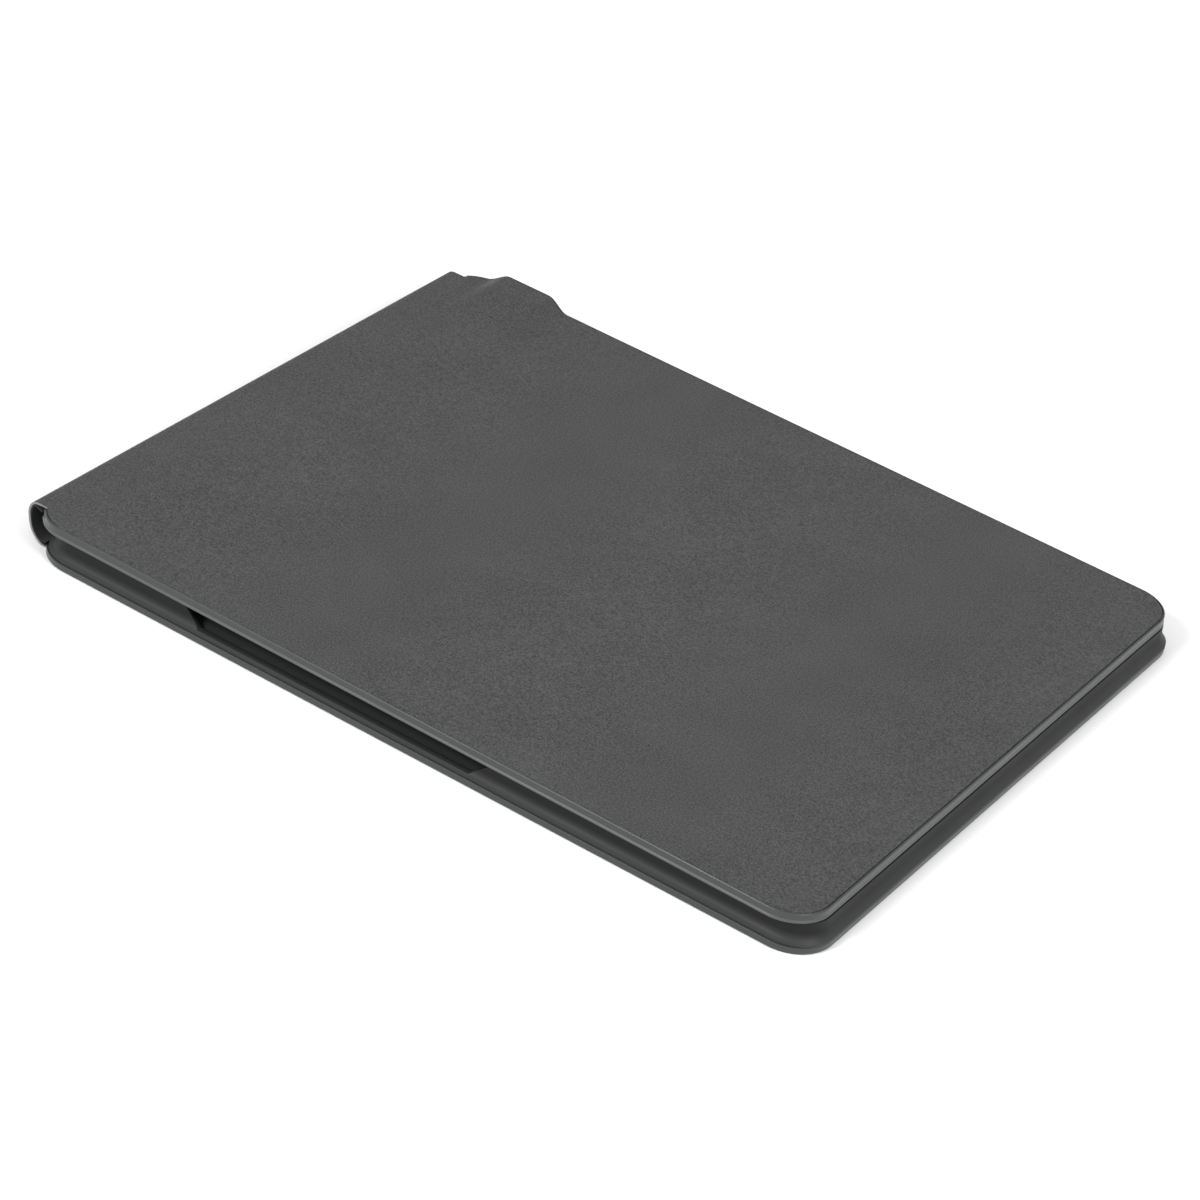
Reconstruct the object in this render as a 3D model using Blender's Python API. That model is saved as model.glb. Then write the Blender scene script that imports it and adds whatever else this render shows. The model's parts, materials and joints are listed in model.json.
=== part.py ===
"""Flip-over tablet case: a moulded tray on a stiff back, a thin cover, and a soft spine that folds
between them. Metres, +Z up, closed and lying on its back.

+X runs from the spine to the free edge, +Y along the spine, and the origin is the bottom centre of
the closed case. Every layer is a piece of its own: skins, rims, boards, the tray, linings and magnets.
The spine is one soft skin with a lining. It bends at three folds, so it is cut there into two strips.
"""

import math

import bmesh
import bpy
import numpy as np

# Overall sizes
CASE_WIDTH = 0.200
PANEL_LENGTH = 0.2375
CORNER_RADIUS = 0.0115
SPINE_END_INSET = 0.0068  # from the case's side to the end of the spine strip
COVER_DROP = 0.0011  # how much lower the cover lies at its free edge than at the spine
COVER_SET_BACK = 0.0022  # the cover lies this far towards the spine

# Layers
SKIN = 0.00045
LINING = 0.0003
GLUE = 0.0001  # gap left for the glue between two layers
COVER_BOARD = 0.0013
BACK_BOARD = 0.0006
TRAY_FLOOR = 0.0007

# Edge bands round both halves
RIM_WIDTH = 0.0012
BACK_RIM_HEIGHT = 0.0020
RIM_ROUND = 0.0006
SIDE_GAP = 0.00015  # between a rim and what it surrounds

# Tray
TRAY_EDGE_INSET = 0.0006
TRAY_FOOT_HEIGHT = 0.0006  # upright part of the wall, over the rim
TRAY_WALL_LEAN = 0.0016  # how far the wall curves in towards its top
TRAY_TOP = 0.0080
TRAY_WALL_AT_TOP = 0.0009
LID_GAP = 0.00055  # from the tray's top to the cover's underside at the free edge
WINDOW_START = 0.0487  # from the back's spine edge
WINDOW_LENGTH = 0.0950
WINDOW_SLOPE = 0.0055
WINDOW_SILL = 0.00035  # height of its sill over the upright foot of the wall

# Raised relief in the cover, at the far side next to the spine
RELIEF_HEIGHT = 0.0034
RELIEF_START = 0.0080  # from the cover's spine edge
RELIEF_RAMP = 0.0071
RELIEF_TOP_LENGTH = 0.0137
RELIEF_TOP_WIDTH = 0.0080  # from the side of the case
RELIEF_FALL = 0.0160

# Magnets
MAGNET_LENGTH = 0.012
MAGNET_SPACING = 0.040
MAGNET_COUNT = 4
TRAY_MAGNET_WIDTH = 0.0010
TRAY_MAGNET_HEIGHT = 0.0030
TRAY_MAGNET_DEPTH = 0.0010  # wall left over a magnet's top
COVER_MAGNET_WIDTH = 0.0040
COVER_MAGNET_THICKNESS = 0.0008
COVER_MAGNET_INSET = 0.0045
SLEEP_MAGNET_RADIUS = 0.0025
SLEEP_MAGNET_INSET = 0.0200
MAGNET_GAP = 0.0001

# Folds
FOLD_CLEARANCE = 0.00045  # from a fold's axis to the end of each strip
LOWER_FOLD_OVERHANG = 0.0010  # from the back's edge to the first fold
UPPER_FOLD_OVERHANG = 0.0007  # from the cover's edge to the last fold

# How finely the shapes are divided
CORNER_STEPS = 8
WALL_STEPS = 6
RAMP_STEPS = 6
DISC_STEPS = 24
SHARP_ANGLE = math.radians(30)
POINT_GAP = 0.0002  # least distance from an arc's point to a corner cut into it
MARGIN = 0.002  # how far a cutter runs past what it cuts

# Worked out from the sizes above
SPINE_HALF_LENGTH = CASE_WIDTH / 2 - SPINE_END_INSET
LAYER_INSET = RIM_WIDTH + SIDE_GAP
COVER_THICKNESS = SKIN + COVER_BOARD + LINING + 2 * GLUE
COVER_TILT = math.atan2(COVER_DROP, PANEL_LENGTH)
TOP_AT_SPINE = TRAY_TOP + LID_GAP + COVER_DROP + COVER_THICKNESS
BACK_BOARD_BASE = SKIN + GLUE
TRAY_BASE = BACK_BOARD_BASE + BACK_BOARD + GLUE
BAY_FLOOR = TRAY_BASE + TRAY_FLOOR
BAY_INSET = TRAY_EDGE_INSET + TRAY_WALL_LEAN + TRAY_WALL_AT_TOP

# The closed spine makes its half turn in three equal folds. Each fold's axis runs in the middle of
# the skin, and the strips' lengths follow from where the first and last fold lie.
FOLD_TURN = math.pi / 3
FOLD_DEPTH = SKIN / 2
RISE_PER_LENGTH = math.sin(FOLD_TURN)
REACH_PER_LENGTH = math.cos(FOLD_TURN)
LAST_FOLD_SET_BACK = COVER_SET_BACK + UPPER_FOLD_OVERHANG - LOWER_FOLD_OVERHANG
STRIPS_TOGETHER = (TOP_AT_SPINE - 2 * FOLD_DEPTH) / RISE_PER_LENGTH
STRIPS_DIFFERENCE = LAST_FOLD_SET_BACK / REACH_PER_LENGTH
LOWER_STRIP = (STRIPS_TOGETHER + STRIPS_DIFFERENCE) / 2
UPPER_STRIP = STRIPS_TOGETHER - LOWER_STRIP
BULGE = LOWER_FOLD_OVERHANG + (LOWER_STRIP - FOLD_CLEARANCE) * REACH_PER_LENGTH
SPINE_REACH = BULGE + FOLD_DEPTH * RISE_PER_LENGTH
BACK_START = (SPINE_REACH - PANEL_LENGTH) / 2
COVER_START = BACK_START - COVER_SET_BACK
FIRST_FOLD = (BACK_START - LOWER_FOLD_OVERHANG, FOLD_DEPTH)

CASE = bpy.data.collections.new("tablet_case")
CUTTERS = bpy.data.collections.new("cutters")


def clear_scene():
    """Empty the scene and link the collections of pieces and cutters."""
    for obj in list(bpy.data.objects):
        bpy.data.objects.remove(obj)
    for collection in (CASE, CUTTERS):
        bpy.context.scene.collection.children.link(collection)


def make_material(name, colour, roughness, metallic=0.0):
    material = bpy.data.materials.new(name)
    material.use_nodes = True
    shader = material.node_tree.nodes["Principled BSDF"]
    shader.inputs["Base Color"].default_value = (*colour, 1.0)
    shader.inputs["Roughness"].default_value = roughness
    shader.inputs["Metallic"].default_value = metallic
    return material


def make_object(name, mesh, material=None, parent=None):
    """A piece when it has a material, and a hidden cutter when it has none."""
    obj = bpy.data.objects.new(name, mesh)
    if material is None:
        CUTTERS.objects.link(obj)
        obj.hide_render = True
        obj.display_type = "WIRE"
    else:
        CASE.objects.link(obj)
        mesh.materials.append(material)
    obj.parent = parent
    return obj


def mesh_from(bm, name):
    """Mesh with its faces outward, smooth except at its sharp edges."""
    bmesh.ops.recalc_face_normals(bm, faces=bm.faces)
    mesh = bpy.data.meshes.new(name)
    bm.to_mesh(mesh)
    bm.free()
    mesh.shade_smooth()
    mesh.set_sharp_from_angle(angle=SHARP_ANGLE)
    return mesh


def panel_outline(inset, start=0.0, tab=None):
    """Corners and arcs of a half's rounded outline, counter-clockwise from the near side of the free edge.

    start is the x of the half's spine edge. With tab, the spine side steps out to that x between the
    ends of the spine strip.
    """
    radius = CORNER_RADIUS - inset
    x_low, x_high = start + CORNER_RADIUS, start + PANEL_LENGTH - CORNER_RADIUS
    y_side = CASE_WIDTH / 2 - CORNER_RADIUS
    corners = (
        (x_high, -y_side, -90),
        (x_high, y_side, 0),
        (x_low, y_side, 90),
        (x_low, -y_side, 180),
    )
    points = []
    for x, y, first in corners:
        for step in range(CORNER_STEPS + 1):
            turn = math.radians(first + 90 * step / CORNER_STEPS)
            points.append((x + radius * math.cos(turn), y + radius * math.sin(turn)))
    if tab is None:
        return points
    y_end = SPINE_HALF_LENGTH
    lift = min(max(y_end - y_side, 0.0), radius)
    x_end = x_low - math.sqrt(radius**2 - lift**2)
    kept = [point for point in points if point[0] > x_low or abs(point[1]) > y_end + POINT_GAP]
    far = [point for point in kept if point[1] > 0]
    near = [point for point in kept if point[1] < 0]
    near_free = [point for point in near if point[0] > x_low + MARGIN]
    near_spine = [point for point in near if point[0] <= x_low + MARGIN]
    step_out = [(x_end, y_end), (tab, y_end), (tab, -y_end), (x_end, -y_end)]
    return near_free + far + step_out + near_spine


def loft(name, levels, material=None, parent=None, start=0.0, tab=None):
    """Closed solid through panel outlines: levels are (inset, z) pairs from the bottom up."""
    bm = bmesh.new()
    rings = []
    for inset, z in levels:
        outline = panel_outline(inset, start, tab)
        rings.append([bm.verts.new((x, y, z)) for x, y in outline])
    bm.faces.new(rings[0])
    bm.faces.new(rings[-1])
    for low, high in zip(rings, rings[1:]):
        for i in range(len(low)):
            bm.faces.new((low[i - 1], low[i], high[i], high[i - 1]))
    return make_object(name, mesh_from(bm, name), material, parent)


def block(name, low, high, material=None, parent=None):
    """Box between two opposite corners."""
    bm = bmesh.new()
    bmesh.ops.create_cube(bm, size=1.0)
    low, high = np.array(low), np.array(high)
    bmesh.ops.scale(bm, vec=high - low, verts=bm.verts)
    bmesh.ops.translate(bm, vec=(low + high) / 2, verts=bm.verts)
    return make_object(name, mesh_from(bm, name), material, parent)


def long_prism(name, outline, y_low, y_high, material=None, parent=None):
    """Prism along Y with a flat outline given as (x, z) points."""
    bm = bmesh.new()
    face = bm.faces.new([bm.verts.new((x, y_low, z)) for x, z in outline])
    grown = bmesh.ops.extrude_face_region(bm, geom=[face])
    moved = [item for item in grown["geom"] if isinstance(item, bmesh.types.BMVert)]
    bmesh.ops.translate(bm, vec=(0, y_high - y_low, 0), verts=moved)
    return make_object(name, mesh_from(bm, name), material, parent)


def combine(obj, other, operation):
    """Add an exact Boolean of obj with another object."""
    modifier = obj.modifiers.new(f"{operation.lower()} {other.name}", "BOOLEAN")
    modifier.operation = operation
    modifier.solver = "EXACT"
    modifier.object = other


def ramp(t):
    """Smooth step from 0 to 1."""
    t = np.clip(t, 0.0, 1.0)
    return t * t * (3.0 - 2.0 * t)


def relief(x, y):
    """Height of the raised relief over the cover's plane, with x measured from the cover's spine edge."""
    rise = ramp((x - RELIEF_START) / RELIEF_RAMP)
    fall_start = RELIEF_START + RELIEF_RAMP + RELIEF_TOP_LENGTH
    fall = 1.0 - ramp((x - fall_start) / RELIEF_RAMP)
    from_side = CASE_WIDTH / 2 - y
    inward = 1.0 - ramp((from_side - RELIEF_TOP_WIDTH) / RELIEF_FALL)
    return RELIEF_HEIGHT * rise * fall * inward


def grid_lines(low, high, ramps):
    """Coordinates that cross a span: its ends and RAMP_STEPS steps over each (start, length) ramp."""
    lines = {low, high}
    for start, length in ramps:
        lines |= {start + length * step / RAMP_STEPS for step in range(RAMP_STEPS + 1)}
    return sorted(lines)


def relief_sheet(name, z_low, z_high, material=None, parent=None, offset_x=0.0, offset_z=0.0):
    """Slab over the whole cover between two heights, lifted by the relief."""
    second_ramp = RELIEF_START + RELIEF_RAMP + RELIEF_TOP_LENGTH
    x_lines = grid_lines(
        -MARGIN, PANEL_LENGTH + MARGIN, [(RELIEF_START, RELIEF_RAMP), (second_ramp, RELIEF_RAMP)]
    )
    side = CASE_WIDTH / 2
    y_lines = grid_lines(
        -side - MARGIN, side + MARGIN, [(side - RELIEF_TOP_WIDTH - RELIEF_FALL, RELIEF_FALL)]
    )
    bm = bmesh.new()
    rows = []
    for x in x_lines:
        heights = [z_low + float(relief(x, y)) for y in y_lines]
        rows.append([bm.verts.new((x, y, z)) for y, z in zip(y_lines, heights)])
    for first, second in zip(rows, rows[1:]):
        for j in range(len(y_lines) - 1):
            bm.faces.new((first[j], second[j], second[j + 1], first[j + 1]))
    grown = bmesh.ops.extrude_face_region(bm, geom=list(bm.faces))
    moved = [item for item in grown["geom"] if isinstance(item, bmesh.types.BMVert)]
    bmesh.ops.translate(bm, vec=(0, 0, z_high - z_low), verts=moved)
    bmesh.ops.translate(bm, vec=(offset_x, 0, offset_z), verts=bm.verts)
    return make_object(name, mesh_from(bm, name), material, parent)


def disc(name, centre, radius, z_low, z_high, material=None, parent=None):
    """Upright round solid."""
    bm = bmesh.new()
    depth = z_high - z_low
    bmesh.ops.create_cone(
        bm, cap_ends=True, segments=DISC_STEPS, radius1=radius, radius2=radius, depth=depth
    )
    bmesh.ops.translate(bm, vec=(*centre, z_low + depth / 2), verts=bm.verts)
    return make_object(name, mesh_from(bm, name), material, parent)


def fold_empty(name, parent, offset_x, turn):
    """Empty on a fold's axis. Turning it about Y opens that fold."""
    empty = bpy.data.objects.new(name, None)
    CASE.objects.link(empty)
    empty.parent = parent
    empty.location = (offset_x, 0, 0)
    empty.rotation_euler = (0, turn, 0)
    return empty


def make_folds():
    """Chain of three empties from the back, round the spine, to the cover."""
    first = fold_empty("fold_1", None, 0.0, FOLD_TURN - math.pi)
    first.location = (FIRST_FOLD[0], 0, FIRST_FOLD[1])
    second = fold_empty("fold_2", first, LOWER_STRIP, FOLD_TURN)
    third = fold_empty("fold_3", second, UPPER_STRIP, FOLD_TURN + COVER_TILT)
    return first, second, third


def ring(rim, name, z_low, z_high, start, parent=None):
    """Hollow out a rim and open it along the spine, where the skin runs through."""
    hole = loft(f"{name}_hole", [(RIM_WIDTH, z_low), (RIM_WIDTH, z_high)], parent=parent, start=start)
    end = SPINE_HALF_LENGTH + SIDE_GAP
    low = (start - MARGIN, -end, z_low)
    high = (start + CORNER_RADIUS, end, z_high)
    gap = block(f"{name}_spine_gap", low, high, parent=parent)
    combine(rim, hole, "DIFFERENCE")
    combine(rim, gap, "DIFFERENCE")


def magnet_places():
    """Number and y of each magnet in a row."""
    middle = (MAGNET_COUNT - 1) / 2
    return [(number + 1, (number - middle) * MAGNET_SPACING) for number in range(MAGNET_COUNT)]


def make_back_layers(skin, band, board):
    tab = FIRST_FOLD[0] + FOLD_CLEARANCE
    levels = [(LAYER_INSET, 0.0), (LAYER_INSET, SKIN)]
    loft("back_skin", levels, skin, start=BACK_START, tab=tab)

    levels = [
        (LAYER_INSET, BACK_BOARD_BASE),
        (LAYER_INSET, BACK_BOARD_BASE + BACK_BOARD),
    ]
    loft("back_board", levels, board, start=BACK_START)

    turns = [math.pi / 2 * step / WALL_STEPS for step in range(WALL_STEPS + 1)]
    levels = [(RIM_ROUND * (1 - math.sin(turn)), RIM_ROUND * (1 - math.cos(turn))) for turn in turns]
    levels.append((0.0, BACK_RIM_HEIGHT))
    rim = loft("back_rim", levels, band, start=BACK_START)
    ring(rim, "back_rim", -MARGIN, BACK_RIM_HEIGHT + MARGIN, BACK_START)


def make_tray(plastic, fabric, steel):
    seat = BACK_RIM_HEIGHT + SIDE_GAP
    foot = seat + TRAY_FOOT_HEIGHT
    levels = [(LAYER_INSET, TRAY_BASE), (LAYER_INSET, seat), (TRAY_EDGE_INSET, seat)]
    for step in range(WALL_STEPS + 1):
        turn = math.pi / 2 * step / WALL_STEPS
        inset = TRAY_EDGE_INSET + TRAY_WALL_LEAN * (1 - math.cos(turn))
        levels.append((inset, foot + (TRAY_TOP - foot) * math.sin(turn)))
    tray = loft("tray_shell", levels, plastic, start=BACK_START)

    levels = [(BAY_INSET, BAY_FLOOR), (BAY_INSET, TRAY_TOP + MARGIN)]
    combine(tray, loft("tablet_bay", levels, start=BACK_START), "DIFFERENCE")

    start = BACK_START + WINDOW_START
    end = start + WINDOW_LENGTH
    outline = [
        (start + WINDOW_SLOPE, foot + WINDOW_SILL),
        (end - WINDOW_SLOPE, foot + WINDOW_SILL),
        (end, TRAY_TOP),
        (end, TRAY_TOP + MARGIN),
        (start, TRAY_TOP + MARGIN),
        (start, TRAY_TOP),
    ]
    side = -CASE_WIDTH / 2
    window = long_prism("side_window", outline, side - MARGIN, side + BAY_INSET + MARGIN)
    combine(tray, window, "DIFFERENCE")

    inset = BAY_INSET + SIDE_GAP
    lining_base = BAY_FLOOR + GLUE
    levels = [(inset, lining_base), (inset, lining_base + LINING)]
    loft("tray_lining", levels, fabric, start=BACK_START)

    face = BACK_START + PANEL_LENGTH - BAY_INSET
    top = TRAY_TOP - TRAY_MAGNET_DEPTH
    bottom = top - TRAY_MAGNET_HEIGHT
    for number, y in magnet_places():
        low = np.array((face, y - MAGNET_LENGTH / 2, bottom))
        high = np.array((face + TRAY_MAGNET_WIDTH, y + MAGNET_LENGTH / 2, top))
        block(f"tray_magnet_{number}", low, high, steel)
        pocket = block(
            f"tray_magnet_pocket_{number}", low - (MARGIN, MAGNET_GAP, MAGNET_GAP), high + MAGNET_GAP
        )
        combine(tray, pocket, "DIFFERENCE")


def make_spine(folds, skin, fabric):
    lining_top = -FOLD_DEPTH - GLUE
    strips = (("lower", folds[0], LOWER_STRIP), ("upper", folds[1], UPPER_STRIP))
    for name, fold, length in strips:
        ends = (FOLD_CLEARANCE, length - FOLD_CLEARANCE)
        low = (ends[0], -SPINE_HALF_LENGTH, -FOLD_DEPTH)
        high = (ends[1], SPINE_HALF_LENGTH, FOLD_DEPTH)
        block(f"spine_skin_{name}", low, high, skin, fold)
        low = (ends[0], -SPINE_HALF_LENGTH, lining_top - LINING)
        high = (ends[1], SPINE_HALF_LENGTH, lining_top)
        block(f"spine_lining_{name}", low, high, fabric, fold)


def cover_sheet(name, z_low, z_high, material, fold, tab=None):
    """One layer of the cover: a lifted slab cut to the panel's outline inside the rim."""
    edge = UPPER_FOLD_OVERHANG
    sheet = relief_sheet(name, z_low, z_high, material, fold, offset_x=edge)
    reach = [z_low - MARGIN, z_high + RELIEF_HEIGHT + MARGIN]
    levels = [(LAYER_INSET, z) for z in reach]
    outline = loft(f"{name}_outline", levels, parent=fold, start=edge, tab=tab)
    combine(sheet, outline, "INTERSECT")
    return sheet


def make_cover(fold, skin, band, board, fabric, steel):
    edge = UPPER_FOLD_OVERHANG
    top = FOLD_DEPTH
    base = top - COVER_THICKNESS
    board_top = top - SKIN - GLUE
    board_base = board_top - COVER_BOARD
    cover_sheet("cover_skin", top - SKIN, top, skin, fold, tab=FOLD_CLEARANCE)
    cover_board = cover_sheet("cover_board", board_base, board_top, board, fold)
    cover_sheet("cover_lining", base, base + LINING, fabric, fold)

    rim = relief_sheet("cover_rim", base, top, band, fold, offset_x=edge)
    reach = (base - MARGIN, top + RELIEF_HEIGHT + MARGIN)
    levels = [(0.0, z) for z in reach]
    outline = loft("cover_rim_outline", levels, parent=fold, start=edge)
    combine(rim, outline, "INTERSECT")
    ring(rim, "cover_rim", *reach, edge, fold)

    middle = (board_top + board_base) / 2
    z_low = middle - COVER_MAGNET_THICKNESS / 2
    z_high = middle + COVER_MAGNET_THICKNESS / 2
    far_end = edge + PANEL_LENGTH - COVER_MAGNET_INSET
    for number, y in magnet_places():
        low = np.array((far_end - COVER_MAGNET_WIDTH, y - MAGNET_LENGTH / 2, z_low))
        high = np.array((far_end, y + MAGNET_LENGTH / 2, z_high))
        block(f"cover_magnet_{number}", low, high, steel, fold)
        grown = np.array((MAGNET_GAP, MAGNET_GAP, MARGIN))
        slot = block(f"cover_magnet_slot_{number}", low - grown, high + grown, parent=fold)
        combine(cover_board, slot, "DIFFERENCE")

    centre = (edge + PANEL_LENGTH - SLEEP_MAGNET_INSET, 0.0)
    disc("sleep_magnet", centre, SLEEP_MAGNET_RADIUS, z_low, z_high, steel, fold)
    reach = (z_low - MARGIN, z_high + MARGIN)
    hole = disc("sleep_magnet_hole", centre, SLEEP_MAGNET_RADIUS + MAGNET_GAP, *reach, parent=fold)
    combine(cover_board, hole, "DIFFERENCE")


def main():
    clear_scene()
    skin = make_material("grained_skin", (0.100, 0.100, 0.101), 0.62)
    band = make_material("edge_band", (0.112, 0.114, 0.114), 0.42)
    plastic = make_material("moulded_plastic", (0.085, 0.086, 0.087), 0.45)
    fabric = make_material("microfibre", (0.060, 0.061, 0.063), 0.95)
    board = make_material("fibre_board", (0.300, 0.270, 0.220), 0.85)
    steel = make_material("plated_magnet", (0.620, 0.620, 0.630), 0.30, metallic=1.0)
    folds = make_folds()
    make_back_layers(skin, band, board)
    make_tray(plastic, fabric, steel)
    make_spine(folds, skin, fabric)
    make_cover(folds[2], skin, band, board, fabric, steel)


main()
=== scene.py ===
"""Looks of the tablet case: skins, edge bands, tray, linings and the soft spine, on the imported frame.

Metres, in the row frame: +X from the spine to the free edge, +Y along the spine, +Z up.
"""

import json
import math

import bpy
import numpy as np
from mathutils import Matrix, Vector


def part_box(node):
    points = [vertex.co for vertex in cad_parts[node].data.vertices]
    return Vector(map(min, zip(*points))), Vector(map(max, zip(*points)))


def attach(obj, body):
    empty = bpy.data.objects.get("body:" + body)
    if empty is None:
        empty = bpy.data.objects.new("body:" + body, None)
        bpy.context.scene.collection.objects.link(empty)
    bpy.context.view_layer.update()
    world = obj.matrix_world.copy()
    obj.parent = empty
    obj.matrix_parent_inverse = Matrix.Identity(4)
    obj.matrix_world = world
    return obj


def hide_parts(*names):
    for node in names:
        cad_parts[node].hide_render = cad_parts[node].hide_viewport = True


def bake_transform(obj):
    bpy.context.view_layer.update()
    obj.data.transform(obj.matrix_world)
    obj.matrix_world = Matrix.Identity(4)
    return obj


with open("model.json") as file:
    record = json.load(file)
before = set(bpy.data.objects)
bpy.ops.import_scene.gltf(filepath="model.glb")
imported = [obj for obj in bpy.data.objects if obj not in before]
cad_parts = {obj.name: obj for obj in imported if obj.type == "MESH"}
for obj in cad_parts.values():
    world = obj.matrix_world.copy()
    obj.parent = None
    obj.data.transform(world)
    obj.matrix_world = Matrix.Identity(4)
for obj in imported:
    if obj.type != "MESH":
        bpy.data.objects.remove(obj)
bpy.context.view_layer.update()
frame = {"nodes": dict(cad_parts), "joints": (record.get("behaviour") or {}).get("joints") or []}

MM = 0.001

# Plan of both halves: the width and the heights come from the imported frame
back_low, back_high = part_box("back_rim")
tray_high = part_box("tray_shell")[1]
strip_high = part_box("spine_skin_lower")[1]
folds = [Vector(joint["pos_m"]) for joint in frame["joints"]]
WIDTH = back_high.y - back_low.y
LENGTH = 0.2375
BACK_START = back_high.x - LENGTH
STRIP_END = strip_high.y + 0.0010
CORNER = 0.0115
FOLD_TO_COVER = 0.0007
COVER_DROP = 0.0011
TILT = math.atan2(COVER_DROP, LENGTH)
HALF_SKIN = 0.000225
COVER_THICKNESS = 0.00225
SEAM = 0.00095
TRAY_TOP = tray_high.z

# Relief in the cover
RELIEF_HEIGHT = 0.0034
RELIEF_START = 0.0080
RELIEF_RAMP = 0.0071
RELIEF_TOP = 0.0137
RELIEF_SIDE = 0.0080
RELIEF_FALL = 0.0160

# Thicknesses of the sheets, and how far the linings and the tray floor start from a half's edge
PANEL_SKIN = 0.45 * MM
SPINE_SKIN = 0.60 * MM
LINING = 0.30 * MM
TRAY_LINING_INSET = 3.25 * MM
TRAY_FLOOR_INSET = 8.0 * MM

# Two grid positions closer than this are taken as the same
SAME_PLACE = 1e-6


def smooth(t):
    """Smooth step: 3t2 - 2t3 with t kept between 0 and 1."""
    t = np.clip(t, 0.0, 1.0)
    return t * t * (3.0 - 2.0 * t)


def relief(x, y):
    """Height over the cover's plane: a smooth rise and fall along x times a smooth fall from the far side."""
    rise = smooth((x - RELIEF_START) / RELIEF_RAMP)
    fall = 1.0 - smooth((x - RELIEF_START - RELIEF_RAMP - RELIEF_TOP) / RELIEF_RAMP)
    side = 1.0 - smooth((WIDTH / 2 - y - RELIEF_SIDE) / RELIEF_FALL)
    return RELIEF_HEIGHT * rise * fall * side


def on_cover(points):
    """From the cover's own frame, x from its spine edge and z from its top face, to the row frame.

    A turn by the cover's tilt about the last fold: x' = X + x cos + z sin, z' = Z - x sin + z cos.
    """
    x = points[..., 0] + FOLD_TO_COVER
    z = points[..., 2] + HALF_SKIN
    cosine, sine = math.cos(TILT), math.sin(TILT)
    placed = np.empty_like(points)
    placed[..., 0] = folds[-1].x + x * cosine + z * sine
    placed[..., 1] = points[..., 1]
    placed[..., 2] = folds[-1].z - x * sine + z * cosine
    return placed


def on_back(points):
    """From x measured from the back's spine edge to the row frame."""
    placed = points.copy()
    placed[..., 0] += BACK_START
    return placed


# ---------------------------------------------------------------- meshes


def mesh_object(name, points, faces, materials, slots=None, sharp=40.0):
    """Closed mesh from an array of points and lists of faces, turned outward by the sign of its volume."""
    mesh = bpy.data.meshes.new(name)
    mesh.from_pydata(points.reshape(-1, 3).tolist(), [], faces)
    for material in materials:
        mesh.materials.append(material)
    if slots is not None:
        mesh.polygons.foreach_set("material_index", np.asarray(slots, np.int32))
    mesh.calc_loop_triangles()
    count = len(mesh.loop_triangles)
    corners = np.empty(count * 3, np.int32)
    mesh.loop_triangles.foreach_get("vertices", corners)
    a, b, c = (points.reshape(-1, 3)[corners.reshape(-1, 3)[:, k]] for k in range(3))
    if np.einsum("ij,ij->", a, np.cross(b, c)) < 0:
        mesh.flip_normals()
    mesh.validate()
    mesh.shade_smooth()
    mesh.set_sharp_from_angle(angle=math.radians(sharp))
    obj = bpy.data.objects.new(name, mesh)
    bpy.context.scene.collection.objects.link(obj)
    return obj


def corner_turns(first, split):
    """Angles round one corner in degrees, with a point exactly at the split where the spine strip ends."""
    if split is None:
        return np.linspace(first, first + 90.0, 19)
    low = np.linspace(first, split, 9)
    high = np.linspace(split, first + 90.0, 13)
    return np.concatenate([low, high[1:]])


def edge_path(x_lines, y_lines):
    """Centres and outward directions round a half's edge, anticlockwise from the middle of the spine side.

    A point at an inset d from the edge is centre + direction * (corner radius - d), so every inset
    gives a true parallel of the rounded outline.
    """
    turn = math.degrees(math.asin((STRIP_END - WIDTH / 2 + CORNER) / (CORNER - SEAM)))
    x_low, x_high = CORNER, LENGTH - CORNER
    y_side = WIDTH / 2 - CORNER
    middle = len(y_lines) // 2
    parts = []

    def side(xs, ys, angle):
        direction = np.array([math.cos(math.radians(angle)), math.sin(math.radians(angle))])
        centres = np.stack(np.broadcast_arrays(xs, ys), axis=1).astype(float)
        parts.append((centres, np.tile(direction, (len(centres), 1))))

    def corner(x, y, first, split):
        turns = np.radians(corner_turns(first, split))[1:-1]
        parts.append(
            (np.tile([x, y], (len(turns), 1)), np.stack([np.cos(turns), np.sin(turns)], axis=1))
        )

    side(x_low, y_lines[middle::-1], 180)
    corner(x_low, -y_side, 180, 180 + turn)
    side(x_lines, -y_side, 270)
    corner(x_high, -y_side, 270, None)
    side(x_high, y_lines, 0)
    corner(x_high, y_side, 0, None)
    side(x_lines[::-1], y_side, 90)
    corner(x_low, y_side, 90, 180 - turn)
    side(x_low, y_lines[:middle:-1], 180)
    centres = np.concatenate([part[0] for part in parts])
    directions = np.concatenate([part[1] for part in parts])
    return centres, directions


def panel_lines(fine_x, fine_y):
    """Grid lines inside the corners: x and y, close together where the relief is when asked."""
    x_low, x_high = CORNER, LENGTH - CORNER
    y_side = WIDTH / 2 - CORNER
    relief_end_x, relief_start_y, fine_step = 0.042, 0.070, 0.0009
    if fine_x:
        x_lines = np.concatenate(
            [np.arange(x_low, relief_end_x, fine_step), np.linspace(relief_end_x, x_high, 61)]
        )
    else:
        x_lines = np.linspace(x_low, x_high, 81)
    if fine_y:
        y_lines = np.concatenate(
            [np.linspace(-y_side, relief_start_y, 53), np.linspace(relief_start_y, y_side, 22)[1:]]
        )
    else:
        y_lines = np.linspace(-y_side, y_side, 61)
    return x_lines, y_lines


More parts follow.
